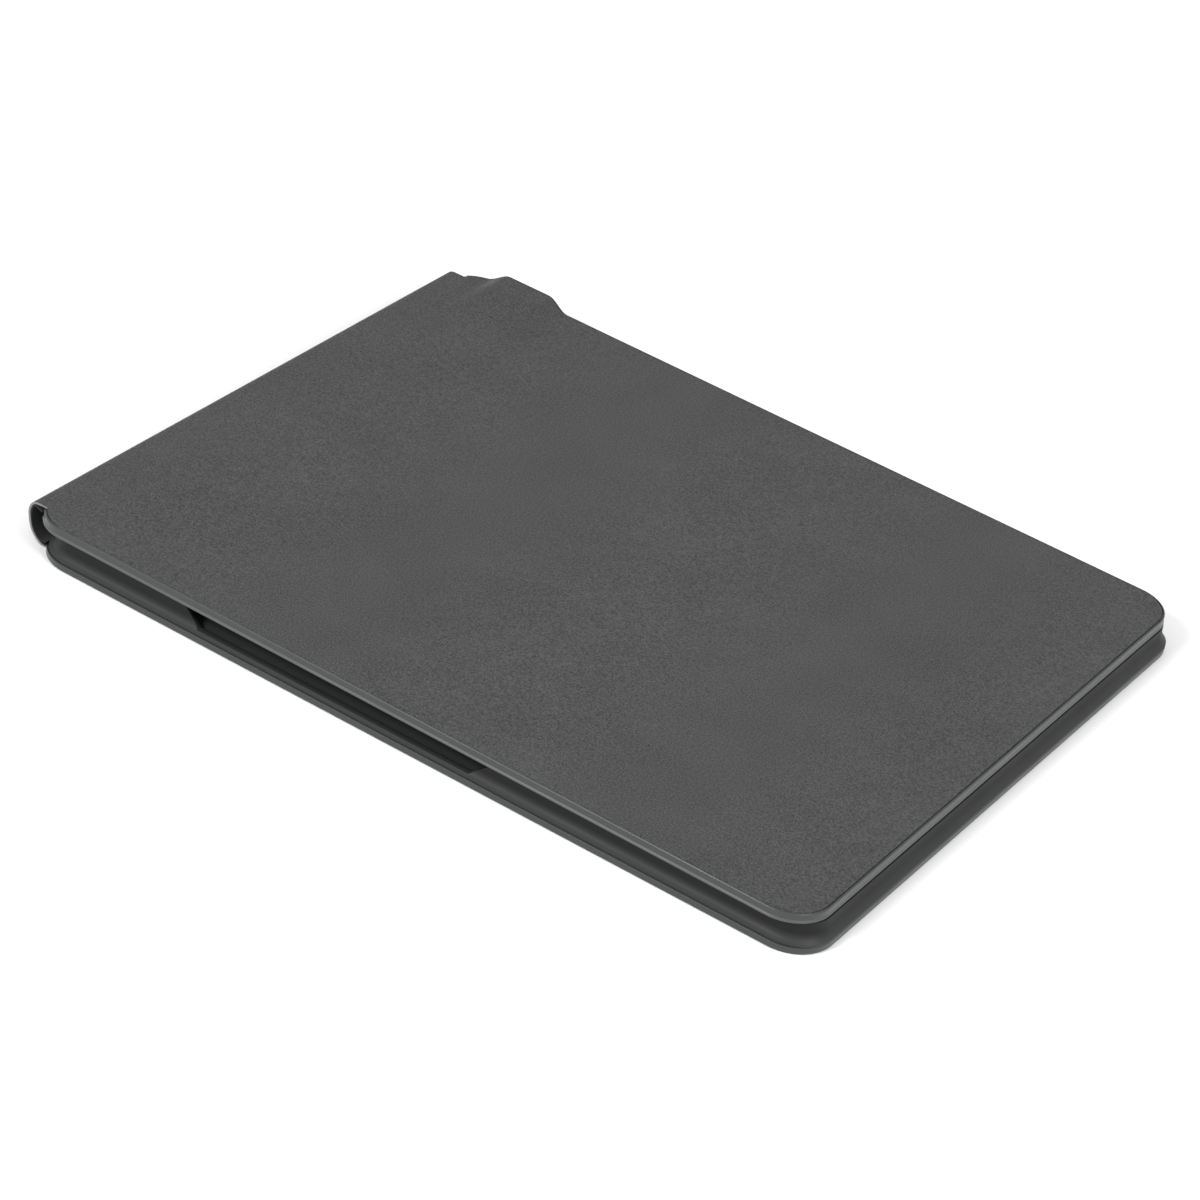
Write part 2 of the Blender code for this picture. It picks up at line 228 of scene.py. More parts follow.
def panel_net(insets, x_lines, y_lines):
    """Points and faces over a rounded panel: parallels of its edge down to the corner centres, then a grid.

    Returns x, y, inset, faces and the number of points in the outer loop, which come first. The
    parallels meet the grid at its own edge lines.
    """
    centres, directions = edge_path(x_lines, y_lines)
    count = len(centres)
    rings = np.concatenate([centres + directions * (CORNER - inset) for inset in insets])
    ring_insets = np.repeat(insets, count)
    grid = np.stack(np.meshgrid(x_lines, y_lines, indexing="ij"), axis=-1).reshape(-1, 2)
    to_side = np.minimum(
        np.minimum(grid[:, 0], LENGTH - grid[:, 0]), WIDTH / 2 - np.abs(grid[:, 1])
    )
    points = np.concatenate([rings, grid])
    depth = np.concatenate([ring_insets, to_side])
    columns = np.rint(np.interp(centres[:, 0], x_lines, np.arange(len(x_lines)))).astype(int)
    rows = np.rint(np.interp(centres[:, 1], y_lines, np.arange(len(y_lines)))).astype(int)
    joint = len(rings) + columns * len(y_lines) + rows
    index = np.arange(count)
    after = (index + 1) % count
    faces = []
    for ring in range(len(insets) - 1):
        low, high = ring * count, (ring + 1) * count
        faces += np.stack([low + index, low + after, high + after, high + index], 1).tolist()
    last = (len(insets) - 1) * count
    flat = joint[after] != joint
    faces += np.stack([last + index, last + after, joint[after], joint], 1)[flat].tolist()
    faces += np.stack([last + index, last + after, joint], 1)[~flat].tolist()
    i, j = np.meshgrid(np.arange(len(x_lines) - 1), np.arange(len(y_lines) - 1), indexing="ij")
    corner = len(rings) + i * len(y_lines) + j
    step = len(y_lines)
    faces += np.stack([corner, corner + step, corner + step + 1, corner + 1], -1).reshape(-1, 4).tolist()
    return points[:, 0], points[:, 1], depth, faces, count


def panel_sheet(name, insets, lines, top, bottom, place, materials):
    """Closed sheet over a rounded panel. top and bottom give z from x, y and the inset from the edge."""
    x, y, depth, faces, count = panel_net(np.array(insets), *lines)
    upper = np.stack([x, y, top(x, y, depth)], axis=1)
    lower = np.stack([x, y, bottom(x, y, depth)], axis=1)
    under = [[len(x) + vertex for vertex in reversed(face)] for face in faces]
    index = np.arange(count)
    after = (index + 1) % count
    wall = np.stack([after, index, len(x) + index, len(x) + after], 1).tolist()
    points = place(np.concatenate([upper, lower]))
    return mesh_object(name, points, faces + under + wall, materials)


def band(name, profile, path, height, place, materials, closed=False, second=None):
    """Profile of (inset, z) points carried round an edge path. height is added at each point's x and y.

    The profile is a closed loop, one for the whole path or one for each of its points. An open path is
    capped at both ends, and a closed one joins up.
    second marks the profile's points whose faces take the second material.
    """
    centres, directions = path
    profile = np.asarray(profile)
    if profile.ndim == 2:
        profile = np.broadcast_to(profile, (len(centres), *profile.shape))
    flat = centres[:, None] + directions[:, None] * (CORNER - profile[..., :1])
    z = profile[..., 1] + height(flat[..., 0], flat[..., 1])
    points = np.concatenate([flat, z[..., None]], axis=2)
    rows, columns = points.shape[:2]
    last = rows if closed else rows - 1
    i, j = np.meshgrid(np.arange(last), np.arange(columns), indexing="ij")
    k, m = (i + 1) % rows, (j + 1) % columns
    faces = np.stack(
        [i * columns + j, k * columns + j, k * columns + m, i * columns + m], -1
    ).reshape(-1, 4).tolist()
    slots = np.tile(np.zeros(columns, int) if second is None else second.astype(int), last).tolist()
    if not closed:
        faces.append(list(range(columns)))
        faces.append(list(range((rows - 1) * columns, rows * columns))[::-1])
        slots += [0, 0]
    return mesh_object(name, place(points), faces, materials, slots)


def level(x, y):
    """No lift anywhere."""
    return np.zeros_like(x)


def rounded(corners, steps):
    """Closed profile through corners given as (inset, z, radius), each corner turned by an arc."""
    points = []
    for k, (x, z, radius) in enumerate(corners):
        here = np.array([x, z])
        before = np.array(corners[k - 1][:2]) - here
        after = np.array(corners[(k + 1) % len(corners)][:2]) - here
        before /= np.linalg.norm(before)
        after /= np.linalg.norm(after)
        if radius == 0:
            points.append(here)
            continue
        half = math.acos(np.clip(before @ after, -1, 1)) / 2
        reach = radius / math.tan(half)
        middle = here + (before + after) / np.linalg.norm(before + after) * radius / math.sin(half)
        start, end = here + before * reach - middle, here + after * reach - middle
        turn = math.pi - 2 * half
        share = np.linspace(0.0, 1.0, steps + 1)[:, None]
        arc = (np.sin((1 - share) * turn) * start + np.sin(share * turn) * end) / math.sin(turn)
        points += list(middle + arc)
    return np.array(points)


def spline(keys, spacing):
    """Natural cubic spline through points, by chord length, sampled at even steps of about that spacing."""
    keys = np.asarray(keys, float)
    at = np.concatenate([[0.0], np.cumsum(np.linalg.norm(np.diff(keys, axis=0), axis=1))])
    gap = np.diff(at)
    count = len(keys)
    system, right = np.eye(count), np.zeros((count, 2))
    for k in range(1, count - 1):
        system[k, k - 1 : k + 2] = gap[k - 1], 2 * (gap[k - 1] + gap[k]), gap[k]
        right[k] = 6 * ((keys[k + 1] - keys[k]) / gap[k] - (keys[k] - keys[k - 1]) / gap[k - 1])
    bend = np.linalg.solve(system, right)
    t = np.linspace(0.0, at[-1], int(round(at[-1] / spacing)) + 1)
    k = np.clip(np.searchsorted(at, t, side="right") - 1, 0, count - 2)
    h, before, after = gap[k][:, None], (t - at[k])[:, None], (at[k + 1] - t)[:, None]
    return (
        (bend[k] * after**3 + bend[k + 1] * before**3) / (6 * h)
        + (keys[k] / h - bend[k] * h / 6) * after
        + (keys[k + 1] / h - bend[k + 1] * h / 6) * before
    )


def inward(path):
    """Unit normals of a path in the XZ plane, on the side where x grows at the path's middle."""
    along = np.gradient(path, axis=0)
    along /= np.linalg.norm(along, axis=1, keepdims=True)
    normals = np.stack([along[:, 1], -along[:, 0]], axis=1)
    return -normals if normals[len(normals) // 2][0] < 0 else normals


def long_strip(name, outer, inner, materials):
    """Closed strip between two grids of points, one row for each y along the spine.

    Its near and far end faces take the second material.
    """
    rows, columns = outer.shape[:2]
    points = np.concatenate([outer.reshape(-1, 3), inner.reshape(-1, 3)])
    size = rows * columns
    i, j = np.meshgrid(np.arange(rows - 1), np.arange(columns - 1), indexing="ij")
    a = (i * columns + j).ravel()
    upper = np.stack([a, a + columns, a + columns + 1, a + 1], 1)
    lower = upper[:, ::-1] + size
    i = np.arange(rows - 1) * columns
    first = np.stack([i + columns, i, i + size, i + columns + size], 1)
    k = i + columns - 1
    second = np.stack([k, k + columns, k + columns + size, k + size], 1)
    j = np.arange(columns - 1)
    low_end = np.stack([j, j + 1, j + 1 + size, j + size], 1)
    m = j + (rows - 1) * columns
    high_end = np.stack([m + 1, m, m + size, m + 1 + size], 1)
    faces = np.concatenate([upper, lower, first, second, low_end, high_end]).tolist()
    slots = [0] * (len(faces) - 2 * len(j)) + [1] * (2 * len(j))
    return mesh_object(name, points, faces, materials, slots)


# ---------------------------------------------------------------- finishes


def add(tree, kind, inputs=None, **settings):
    """A shader node with its settings and inputs. An input is a value or another node's output."""
    made = tree.nodes.new(kind)
    for key, value in settings.items():
        setattr(made, key, value)
    for key, value in (inputs or {}).items():
        if isinstance(value, bpy.types.NodeSocket):
            tree.links.new(value, made.inputs[key])
        else:
            made.inputs[key].default_value = value
    return made


CLOUD_SCALE = 55.0
CLOUD_SHARE = 0.2
TONE_RANGE = (0.36, 0.84)
GLOSS_RANGE = (0.3, 0.7)
BUMP_STRENGTH = 0.6


def finish(
    name,
    colour,
    contrast,
    rough,
    rough_span,
    cells,
    cell_depth,
    fine,
    fine_depth,
    stretch=(1, 1, 1),
    painted_gap_shade=None,
    **fixed,
):
    """Procedural finish: rounded cells and fine noise for relief, slow noise for colour and gloss.

    Lengths are in metres on the piece's own Object coordinates. The painted-shade argument is (low z, high z,
    share): the colour is painted darker with height, falling to that share of itself between the two heights,
    as painted shade standing for the shadow in a narrow gap. fixed holds plain shader inputs.
    """
    material = bpy.data.materials.new(name)
    material.use_nodes = True
    tree = material.node_tree
    shader = tree.nodes["Principled BSDF"]
    place = add(tree, "ShaderNodeTexCoord").outputs["Object"]
    place = add(tree, "ShaderNodeMapping", {"Vector": place, "Scale": stretch}).outputs["Vector"]
    pebbles = add(
        tree,
        "ShaderNodeTexVoronoi",
        {"Vector": place, "Scale": 1 / cells, "Randomness": 1.0},
        feature="SMOOTH_F1",
    )
    speck = add(tree, "ShaderNodeTexNoise", {"Vector": place, "Scale": 1 / fine, "Detail": 3.0})
    cloud = add(tree, "ShaderNodeTexNoise", {"Vector": place, "Scale": CLOUD_SCALE, "Detail": 4.0})
    dark = [channel * (1 - contrast) for channel in colour]
    light = [channel * (1 + contrast) for channel in colour]
    mixed = add(
        tree,
        "ShaderNodeMath",
        {0: cloud.outputs["Fac"], 1: CLOUD_SHARE, 2: speck.outputs["Fac"]},
        operation="MULTIPLY_ADD",
    )
    tone = add(
        tree,
        "ShaderNodeMapRange",
        {"Value": mixed.outputs[0], "From Min": TONE_RANGE[0], "From Max": TONE_RANGE[1]},
    )
    ramp = add(tree, "ShaderNodeValToRGB", {"Fac": tone.outputs["Result"]})
    ramp.color_ramp.elements[0].color = (*dark, 1)
    ramp.color_ramp.elements[1].color = (*light, 1)
    shown = ramp.outputs["Color"]
    # Painted shade: the base colour is scaled down with Object z, standing for the shadow in the gap under
    # the cover.
    if painted_gap_shade:
        height = add(tree, "ShaderNodeSeparateXYZ", {"Vector": place}).outputs["Z"]
        fall = add(
            tree,
            "ShaderNodeMapRange",
            {
                "Value": height,
                "From Min": painted_gap_shade[0],
                "From Max": painted_gap_shade[1],
                "To Min": 1.0,
                "To Max": painted_gap_shade[2],
            },
        )
        shown = add(
            tree, "ShaderNodeVectorMath", {0: shown, "Scale": fall.outputs["Result"]}, operation="SCALE"
        ).outputs["Vector"]
    tree.links.new(shown, shader.inputs["Base Color"])
    gloss = add(
        tree,
        "ShaderNodeMapRange",
        {
            "Value": cloud.outputs["Fac"],
            "From Min": GLOSS_RANGE[0],
            "From Max": GLOSS_RANGE[1],
            "To Min": rough - rough_span,
            "To Max": rough + rough_span,
        },
    )
    tree.links.new(gloss.outputs["Result"], shader.inputs["Roughness"])
    pressed = add(
        tree,
        "ShaderNodeBump",
        {"Height": pebbles.outputs["Distance"], "Distance": cell_depth, "Strength": BUMP_STRENGTH},
    )
    grained = add(
        tree,
        "ShaderNodeBump",
        {
            "Height": speck.outputs["Fac"],
            "Distance": fine_depth,
            "Strength": BUMP_STRENGTH,
            "Normal": pressed.outputs["Normal"],
        },
    )
    tree.links.new(grained.outputs["Normal"], shader.inputs["Normal"])
    for key, value in fixed.items():
        shader.inputs[key.replace("_", " ")].default_value = value
    return material


grained_skin = finish(
    "grained_skin", (0.0335, 0.0335, 0.0338), contrast=0.95, rough=0.62, rough_span=0.05,
    cells=0.00046, cell_depth=0.00009, fine=0.00048, fine_depth=0.00009,
)
cut_edge = finish(
    "cut_skin_edge", (0.17, 0.17, 0.17), contrast=0.20, rough=0.75, rough_span=0.05,
    cells=0.0002, cell_depth=0.00003, fine=0.0001, fine_depth=0.00002,
)
satin_band = finish(
    "satin_edge_band", (0.030, 0.0325, 0.0325), contrast=0.20, rough=0.34, rough_span=0.06,
    cells=0.0011, cell_depth=0.000008, fine=0.00016, fine_depth=0.000006,
)
# Painted highlight: a lighter copy of the satin band's colour for the cover band's lip faces, standing for
# the light the rounded lip catches.
painted_lip_highlight = finish(
    "edge_lip_painted_highlight", (0.058, 0.061, 0.061), contrast=0.25, rough=0.32, rough_span=0.05,
    cells=0.0011, cell_depth=0.000008, fine=0.00016, fine_depth=0.000006,
)
# The tray plastic's colour is painted darker from 2.3 mm to 5.2 mm up, to 18 % of itself, as painted shade
# for the gap under the cover.
moulded = finish(
    "spark_textured_plastic", (0.036, 0.037, 0.037), contrast=0.10, rough=0.55, rough_span=0.04,
    cells=0.00022, cell_depth=0.000012, fine=0.0001, fine_depth=0.00001,
    painted_gap_shade=(0.0023, 0.0052, 0.18), Specular_IOR_Level=0.22,
)
nap = finish(
    "microfibre_nap", (0.020, 0.0205, 0.021), contrast=0.30, rough=0.95, rough_span=0.03,
    cells=0.0006, cell_depth=0.00006, fine=0.00012, fine_depth=0.00008,
    Sheen_Weight=0.10, Sheen_Roughness=0.5, Specular_IOR_Level=0.2,
)
grey_board = finish(
    "grey_fibre_board", (0.30, 0.27, 0.22), contrast=0.25, rough=0.88, rough_span=0.04,
    cells=0.0009, cell_depth=0.00004, fine=0.0002, fine_depth=0.00005, stretch=(0.5, 1, 1),
)
nickel = finish(
    "nickel_plate", (0.62, 0.62, 0.63), contrast=0.05, rough=0.28, rough_span=0.05,
    cells=0.0015, cell_depth=0.000004, fine=0.0001, fine_depth=0.000003, stretch=(1, 0.15, 1),
    Metallic=1.0,
)

# ---------------------------------------------------------------- cover

skin_insets = np.array(
    [0.95, 0.97, 1.0, 1.04, 1.1, 1.18, 1.28, 1.4, 1.55, 1.75, 2.1, 2.7, 3.5, 4.4, 5.3, 6.2, 7.1,
     8.0, 8.9, 9.8, 10.7]
) * MM
cover_lines = panel_lines(True, True)


def at_spine(x, y):
    """1 where the skin runs on into the spine strip, 0 round the rest of the edge."""
    blend_width = 0.4 * MM
    return (x < CORNER) * (1.0 - smooth((np.abs(y) - STRIP_END + blend_width / 2) / blend_width))


def rolled_edge(x, y, depth):
    """A skin's edge: a low bead just inside the seam, then a quick fall into it."""
    bead_height, bead_inset, bead_width = 0.06 * MM, 1.35 * MM, 0.25 * MM
    seam_depth, seam_width = 0.30 * MM, 0.16 * MM
    bead = bead_height * np.exp(-(((depth - bead_inset) / bead_width) ** 2))
    fall = seam_depth * (1.0 - smooth((depth - SEAM) / seam_width))
    return (bead - fall) * (1.0 - at_spine(x, y))


cover_skin = panel_sheet(
    "cover_skin_surface",
    skin_insets,
    cover_lines,
    lambda x, y, d: relief(x, y) + rolled_edge(x, y, d),
    lambda x, y, d: relief(x, y) - PANEL_SKIN,
    on_cover,
    [grained_skin],
)
cover_lining = panel_sheet(
    "cover_lining_surface",
    np.array([1.35, 1.5, 1.8, 2.7, 3.5, 4.4, 5.3, 6.2, 7.1, 8.0, 8.9, 9.8, 10.7]) * MM,
    cover_lines,
    lambda x, y, d: relief(x, y) - COVER_THICKNESS + LINING,
    lambda x, y, d: relief(x, y) - COVER_THICKNESS,
    on_cover,
    [nap],
)


def open_path(lines):
    """Edge path from the near end of the spine strip round to its far end, leaving the strip's side open."""
    centres, directions = edge_path(*lines)
    y = centres[:, 1] + directions[:, 1] * (CORNER - SEAM)
    inside = (centres[:, 0] < CORNER + SAME_PLACE) & (directions[:, 0] < 0)
    inside &= np.abs(y) < STRIP_END + 0.1 * MM
    first = int(np.argmax(~inside))
    last = len(inside) - int(np.argmax(~inside[::-1]))
    return centres[first:last], directions[first:last]


# The band as (inset, z, radius) corners, anticlockwise: top, step for the skin, underside, lip, outer wall
LIP_DROP = 0.45 * MM
LIP = COVER_THICKNESS + LIP_DROP
cover_band_profile = rounded(
    [
        (0.22 * MM, -0.06 * MM, 0.34 * MM),
        (0.70 * MM, -0.06 * MM, 0.08 * MM),
        (0.73 * MM, -0.55 * MM, 0.0),
        (1.22 * MM, -0.55 * MM, 0.0),
        (1.22 * MM, -COVER_THICKNESS, 0.0),
        (0.95 * MM, -COVER_THICKNESS - 0.15 * MM, 0.0),
        (0.75 * MM, -LIP, 0.10 * MM),
        (0.00 * MM, -LIP, 0.22 * MM),
        (0.00 * MM, -LIP + 0.48 * MM, 0.10 * MM),
        (0.24 * MM, -LIP + 0.86 * MM, 0.20 * MM),
    ],
    6,
)
# The cover band's lip faces, which take the painted highlight.
LIP_FACE_INSET, LIP_FACE_LOW, LIP_FACE_HIGH = 0.26 * MM, 0.20 * MM, 0.87 * MM
over_lip = cover_band_profile[:, 1] + LIP
lip_highlight_faces = (cover_band_profile[:, 0] < LIP_FACE_INSET) & (over_lip > LIP_FACE_LOW) & (over_lip < LIP_FACE_HIGH)
cover_band = band(
    "cover_edge_band",
    cover_band_profile,
    open_path(cover_lines),
    relief,
    on_cover,
    [satin_band, painted_lip_highlight],
    second=lip_highlight_faces,
)

# ---------------------------------------------------------------- back and tray

back_lines = panel_lines(False, False)
back_skin = panel_sheet(
    "back_skin_surface",
    skin_insets,
    back_lines,
    lambda x, y, d: np.full_like(x, PANEL_SKIN),
    lambda x, y, d: np.maximum(0.0, -rolled_edge(x, y, d)),
    on_back,
    [grained_skin],
)

# Heights over the floor: band's top, tray's seat on it, foot of the wall, tray's underside and bay's floor
RIM_TOP = 2.0 * MM
SEAT = 2.02 * MM
FOOT = 2.75 * MM
WALL_BASE = 1.25 * MM
BAY_FLOOR = 1.95 * MM
SILL = FOOT + 0.35 * MM
# The window in the near wall: start, end of the slope down, start of the slope up and end, along x
WINDOW_START = 48.7 * MM
WINDOW = np.array([0.0, 5.5, 89.5, 95.0]) * MM + WINDOW_START
window_slopes = [np.linspace(*WINDOW[:2], 9), np.linspace(*WINDOW[2:], 9)]
tray_x = np.unique(np.concatenate([back_lines[0], *window_slopes]))
tray_lines = (tray_x, back_lines[1])


def bowl(directions):
    """1 on the free edge's side, where wall and band meet without a step, and 0 on the other three."""
    return smooth((directions[:, 0] - 0.35) / 0.6)


rim_path = open_path(back_lines)
rim_profile = rounded(
    [
        (0.0, 0.0, 0.6 * MM),
        (0.90 * MM, 0.0, 0.07 * MM),
        (0.92 * MM, 0.55 * MM, 0.0),
        (1.20 * MM, 0.55 * MM, 0.0),
        (1.20 * MM, RIM_TOP, 0.0),
        (0.0, RIM_TOP, 0.09 * MM),
    ],
    7,
)
outer_top = (rim_profile[:, 1] > 1.5 * MM) & (rim_profile[:, 0] < 0.3 * MM)
closing = bowl(rim_path[1])[:, None] * outer_top
rim_profiles = np.broadcast_to(rim_profile, (len(rim_path[0]), *rim_profile.shape)).copy()
rim_profiles[..., 0] *= 1 - 0.9 * closing
back_band = band(
    "back_edge_band", rim_profiles, rim_path, level, on_back, [satin_band]
)


def tray_section(path):
    """Wall section at each path point: foot, wall leaning in, round top, inner wall, floor edge.

    The wall's inset is foot + (lean - foot) * (1 - (1 - lift) ** power), where lift runs from 0 at the
    foot to 1 at the tray's top. The power is 7 and falls to 2.8 on the free edge's side. In the window
    the wall stops at the sill.
    """
    centres, directions = path
    free = bowl(directions)[:, None]
    near = directions[:, 1:] < -0.999
    t = np.clip((centres[:, :1] - WINDOW[0]) / (WINDOW[1] - WINDOW[0]), 0, 1)
    u = np.clip((WINDOW[3] - centres[:, :1]) / (WINDOW[3] - WINDOW[2]), 0, 1)
    top = TRAY_TOP - (TRAY_TOP - SILL) * np.minimum(t, u) * near
    foot_inset = (0.60 - 0.58 * free) * MM
    seat = SEAT - 0.03 * MM * free
    ease = (0.07 - 0.06 * free) * MM

    lean = 1.95 * MM
    round_top = 0.16 * MM
    inner_edge = 3.1 * MM
    rebate = 1.35 * MM

    def wall(z):
        lift = np.clip((z - FOOT) / (TRAY_TOP - FOOT), 0, 1)
        return foot_inset + (lean - foot_inset) * (1 - (1 - lift) ** (7.0 - 4.2 * free))

    share = (np.linspace(0.0, 1.0, 17) ** 2)[None]
    outer_z = FOOT + (top - round_top - FOOT) * share
    outer = np.stack([wall(outer_z), outer_z], axis=-1)
    turn = np.linspace(0.0, math.pi / 2, 5)[None, 1:]
    edge = wall(top - round_top)
    turn_out = np.stack(
        [edge + round_top * (1 - np.cos(turn)), top - round_top * (1 - np.sin(turn))], -1
    )
    column = np.ones_like(top)
    turn_in = np.stack(
        [column * (inner_edge - round_top * (1 - np.sin(turn))), top - round_top * (1 - np.cos(turn))], -1
    )
    foot = [(rebate, WALL_BASE), (rebate, seat), (foot_inset + ease, seat), (foot_inset, seat + ease)]
    low = np.stack([np.concatenate([a * column, b * column], 1) for a, b in foot], axis=1)
    floor = [(inner_edge, BAY_FLOOR + 0.4 * MM), (inner_edge + 0.12 * MM, BAY_FLOOR + 0.12 * MM)]
    floor += [(inner_edge + 0.4 * MM, BAY_FLOOR), (TRAY_FLOOR_INSET, BAY_FLOOR)]
    floor += [(TRAY_FLOOR_INSET, WALL_BASE)]
    inside = np.stack([np.concatenate([a * column, b * column], 1) for a, b in floor], axis=1)
    return np.concatenate([low, outer, turn_out, turn_in, inside], axis=1)


tray_path = edge_path(*tray_lines)
tray_wall = band(
    "tray_wall", tray_section(tray_path), tray_path, level, on_back, [moulded], closed=True
)
tray_floor = panel_sheet(
    "tray_floor",
    np.array([8.0, 9.5, 11.0]) * MM,
    back_lines,
    lambda x, y, d: np.full_like(x, BAY_FLOOR),
    lambda x, y, d: np.full_like(x, WALL_BASE),
    on_back,
    [moulded],
)
tray_lining = panel_sheet(
    "tray_lining_surface",
    np.array([3.25, 3.4, 3.8, 5.0, 7.0, 9.0, 11.0]) * MM,
    back_lines,
    lambda x, y, d: BAY_FLOOR
    + 0.4 * MM
    - 0.15 * MM * (1 - smooth((d - TRAY_LINING_INSET) / (0.4 * MM))),
    lambda x, y, d: np.full_like(x, BAY_FLOOR + 0.1 * MM),
    on_back,
    [nap],
)

# ---------------------------------------------------------------- spine

# Outside of the spine as (x past the back's spine edge, z) in mm, from the cover round to the back
cover_edge = on_cover(np.zeros((1, 3)))[0]
top_x, top_z = (cover_edge[0] - BACK_START) / MM, cover_edge[2] / MM
outer_keys = [
    (top_x - 0.1, top_z), (top_x - 0.45, top_z - 0.01), (-3.45, 11.76), (-4.25, 11.36), (-4.92, 10.62),
    (-5.34, 9.60), (-5.50, 8.40), (-5.33, 7.10), (-4.82, 5.00), (-3.92, 3.00), (-2.45, 1.36),
    (-1.15, 0.42), (-0.35, 0.06), (0.0, 0.0),
]
outer_path = spline(outer_keys, 0.2) * MM
GLUE_GAP = 0.06 * MM
normals = inward(outer_path)
inner_path = outer_path + normals * SPINE_SKIN
lining_outer = outer_path + normals * (SPINE_SKIN + GLUE_GAP)


def cut_at(path, z):
    """Index of the path point nearest a height."""
    return int(np.argmin(np.abs(path[:, 1] - z)))


# Heights where the skin and the lining are cut into an upper, a middle and a lower bend
SKIN_CUTS = (9.9 * MM, 4.0 * MM)
LINING_CUTS = (9.6 * MM, 4.3 * MM)
upper_cut, lower_cut = (cut_at(outer_path, z) for z in SKIN_CUTS)


def spine_rows(lines):
    """Points of a skin's outer loop along the spine strip, from its near end to its far end."""
    centres, directions = edge_path(*lines)
    loop = centres + directions * (CORNER - SEAM)
    inside = (centres[:, 0] < CORNER + SAME_PLACE) & (directions[:, 0] < 0)
    inside &= np.abs(loop[:, 1]) < STRIP_END + 0.01 * MM
    loop = loop[inside]
    return loop[np.argsort(loop[:, 1])]


def swept(rows, path):
    """Grid of points: a path in the XZ plane, from the back's edge, repeated at each row's y."""
    grid = np.empty((len(rows), len(path), 3))
    grid[..., 0] = path[None, :, 0] + BACK_START
    grid[..., 1] = rows[:, None, 1]
    grid[..., 2] = path[None, :, 1]
    return grid


def lead(rows, z, place, share=(0.0, 0.35, 0.7)):
    """Flat columns from the skin's outer loop towards the strip, at a height z in that half's own frame."""
    grid = np.empty((len(rows), len(share), 3))
    grid[..., 0] = rows[:, None, 0] * (1 - np.array(share)[None])
    grid[..., 1] = rows[:, None, 1]
    grid[..., 2] = z
    return place(grid)


cover_rows, back_rows = spine_rows(cover_lines), spine_rows(back_lines)
spine_finish = [grained_skin, cut_edge]

upper_bend = long_strip(
    "spine_skin_upper_bend",
    np.concatenate([lead(cover_rows, 0.0, on_cover), swept(cover_rows, outer_path[: upper_cut + 1])], 1),
    np.concatenate(
        [lead(cover_rows, -PANEL_SKIN, on_cover), swept(cover_rows, inner_path[: upper_cut + 1])], 1
    ),
    spine_finish,
)
middle_bend = long_strip(
    "spine_skin_middle_bend",
    swept(back_rows, outer_path[upper_cut : lower_cut + 1]),
    swept(back_rows, inner_path[upper_cut : lower_cut + 1]),
    spine_finish,
)
lower_bend = long_strip(
    "spine_skin_lower_bend",
    np.concatenate(
        [swept(back_rows, outer_path[lower_cut:]), lead(back_rows, 0.0, on_back)[:, ::-1]], 1
    ),
    np.concatenate(
        [swept(back_rows, inner_path[lower_cut:]), lead(back_rows, PANEL_SKIN, on_back)[:, ::-1]], 1
    ),
    spine_finish,
)

# The lining turns off the skin at both ends and runs in under the boards' edges
first_keep = int(np.argmin(np.abs(lining_outer[:, 0] + 4.0 * MM) + (lining_outer[:, 1] < 9 * MM)))
last_keep = int(np.argmin(np.abs(lining_outer[:, 0] + 2.3 * MM) + (lining_outer[:, 1] > 3 * MM)))
lining_keys = np.concatenate(
    [
        np.array([(top_x + 1.1, top_z - 1.95), (top_x + 0.1, top_z - 1.6)]) * MM,
        lining_outer[first_keep : last_keep + 1 : 4],
        np.array([(-0.9, 1.25), (1.1, 1.35)]) * MM,
    ]
)
lining_path = spline(lining_keys / MM, 0.25) * MM
lining_inner = lining_path + inward(lining_path) * LINING
lining_rows = np.stack([np.zeros(61), np.linspace(-STRIP_END, STRIP_END, 61)], axis=1)
upper_lining_cut, lower_lining_cut = (cut_at(lining_path, z) for z in LINING_CUTS)
linings = []
for part, first, last in (
    ("upper", 0, upper_lining_cut),
    ("middle", upper_lining_cut, lower_lining_cut),
    ("lower", lower_lining_cut, len(lining_path) - 1),
):
    linings.append(
        long_strip(
            f"spine_lining_{part}_bend",
            swept(lining_rows, lining_path[first : last + 1]),
            swept(lining_rows, lining_inner[first : last + 1]),
            [nap, nap],
        )
    )

# ---------------------------------------------------------------- how pieces move


for piece in (cover_skin, cover_lining, cover_band):
    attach(piece, "cover")
for piece in (back_skin, back_band, tray_wall, tray_floor, tray_lining):
    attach(piece, "back")
for piece in (lower_bend, linings[2]):
    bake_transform(piece)
for piece in (middle_bend, linings[1]):
    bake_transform(piece)
for piece in (upper_bend, linings[0]):
    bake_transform(piece)

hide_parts("cover_skin")
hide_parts("cover_lining")
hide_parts("cover_rim")
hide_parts("back_skin")
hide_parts("back_rim")
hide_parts("tray_shell")
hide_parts("tray_shell")
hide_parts("tray_lining")
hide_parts("spine_skin_upper")
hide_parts("spine_skin_upper", "spine_skin_lower")
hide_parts("spine_lining_upper", "spine_lining_lower")
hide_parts("spine_skin_lower")
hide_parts("spine_lining_upper")
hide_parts("spine_lining_lower")

for name, node in frame["nodes"].items():
    if "magnet" in name:
        finish_of_node = nickel
    elif "board" in name:
        finish_of_node = grey_board
    else:
        continue
    for slot in node.material_slots:
        slot.material = finish_of_node


# ---------------------------------------------------------------- floor, light and camera

scene = bpy.context.scene
scene.view_settings.view_transform = "Standard"

FLOOR_REACH = 4.0
FLOOR_DROP = 0.00002
FLOOR_TONE = 0.84
WORLD_STRENGTH = 0.85

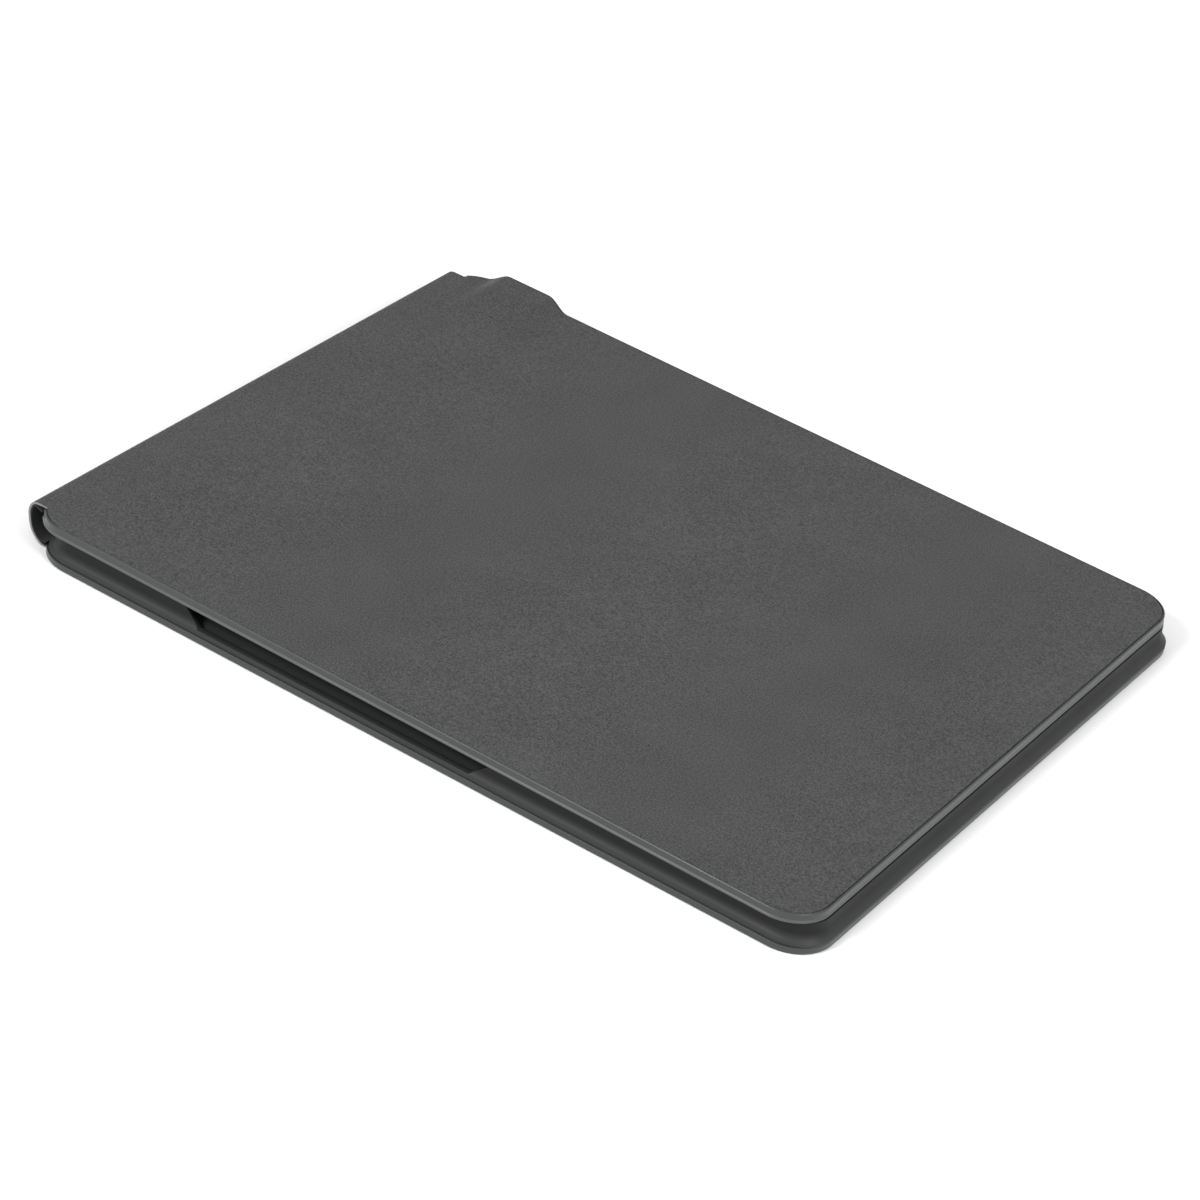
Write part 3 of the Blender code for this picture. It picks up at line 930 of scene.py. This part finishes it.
floor_mesh = bpy.data.meshes.new("pale_floor")
floor_corners = [(-1, -1), (1, -1), (1, 1), (-1, 1)]
floor_mesh.from_pydata(
    [(x * FLOOR_REACH, y * FLOOR_REACH, -FLOOR_DROP) for x, y in floor_corners], [], [(0, 1, 2, 3)]
)
floor = bpy.data.objects.new("pale_floor", floor_mesh)
scene.collection.objects.link(floor)
pale = bpy.data.materials.new("pale_floor")
pale.use_nodes = True
pale_shader = pale.node_tree.nodes["Principled BSDF"]
pale_shader.inputs["Base Color"].default_value = (FLOOR_TONE, FLOOR_TONE, FLOOR_TONE, 1)
pale_shader.inputs["Roughness"].default_value = 0.9
floor_mesh.materials.append(pale)

world = bpy.data.worlds.new("soft_tent")
world.use_nodes = True
background = world.node_tree.nodes["Background"]
background.inputs["Color"].default_value = (1.0, 1.0, 1.0, 1)
background.inputs["Strength"].default_value = WORLD_STRENGTH
scene.world = world

TARGET = Vector((0.003153, -0.011339, 0.005240))
YAW, ELEVATION = 27.149, 32.181
ROLL = math.radians(11.385)
DISTANCE = 1.07597
LENS = 123.5


def direction_from(yaw, elevation):
    """Unit direction away from the case: yaw about Z from -Y towards +X, then elevation, in degrees."""
    yaw, elevation = math.radians(yaw), math.radians(elevation)
    return Vector(
        (math.sin(yaw) * math.cos(elevation), -math.cos(yaw) * math.cos(elevation), math.sin(elevation))
    )


def softbox(name, yaw, elevation, distance, size, power):
    """Square area light aimed at the case, placed like the camera by yaw and elevation."""
    light = bpy.data.lights.new(name, "AREA")
    light.shape = "SQUARE"
    light.size = size
    light.energy = power
    obj = bpy.data.objects.new(name, light)
    scene.collection.objects.link(obj)
    away = direction_from(yaw, elevation)
    obj.location = TARGET + away * distance
    obj.rotation_mode = "QUATERNION"
    obj.rotation_quaternion = away.to_track_quat("Z", "Y")


softbox("left_softbox", yaw=-18.0, elevation=38.0, distance=1.6, size=0.40, power=17.0)
softbox("right_softbox", yaw=73.0, elevation=38.0, distance=1.6, size=0.40, power=11.5)

away = direction_from(YAW, ELEVATION)
right = (-away).cross(Vector((0, 0, 1))).normalized()
up = right.cross(-away)
rolled_right = math.cos(ROLL) * right + math.sin(ROLL) * up
rolled_up = -math.sin(ROLL) * right + math.cos(ROLL) * up
camera_data = bpy.data.cameras.new("camera")
camera_data.sensor_width = 36.0
camera_data.lens = LENS
camera = bpy.data.objects.new("camera", camera_data)
scene.collection.objects.link(camera)
placed = Matrix((rolled_right, rolled_up, away)).transposed().to_4x4()
placed.translation = TARGET + away * DISTANCE
camera.matrix_world = placed
scene.camera = camera
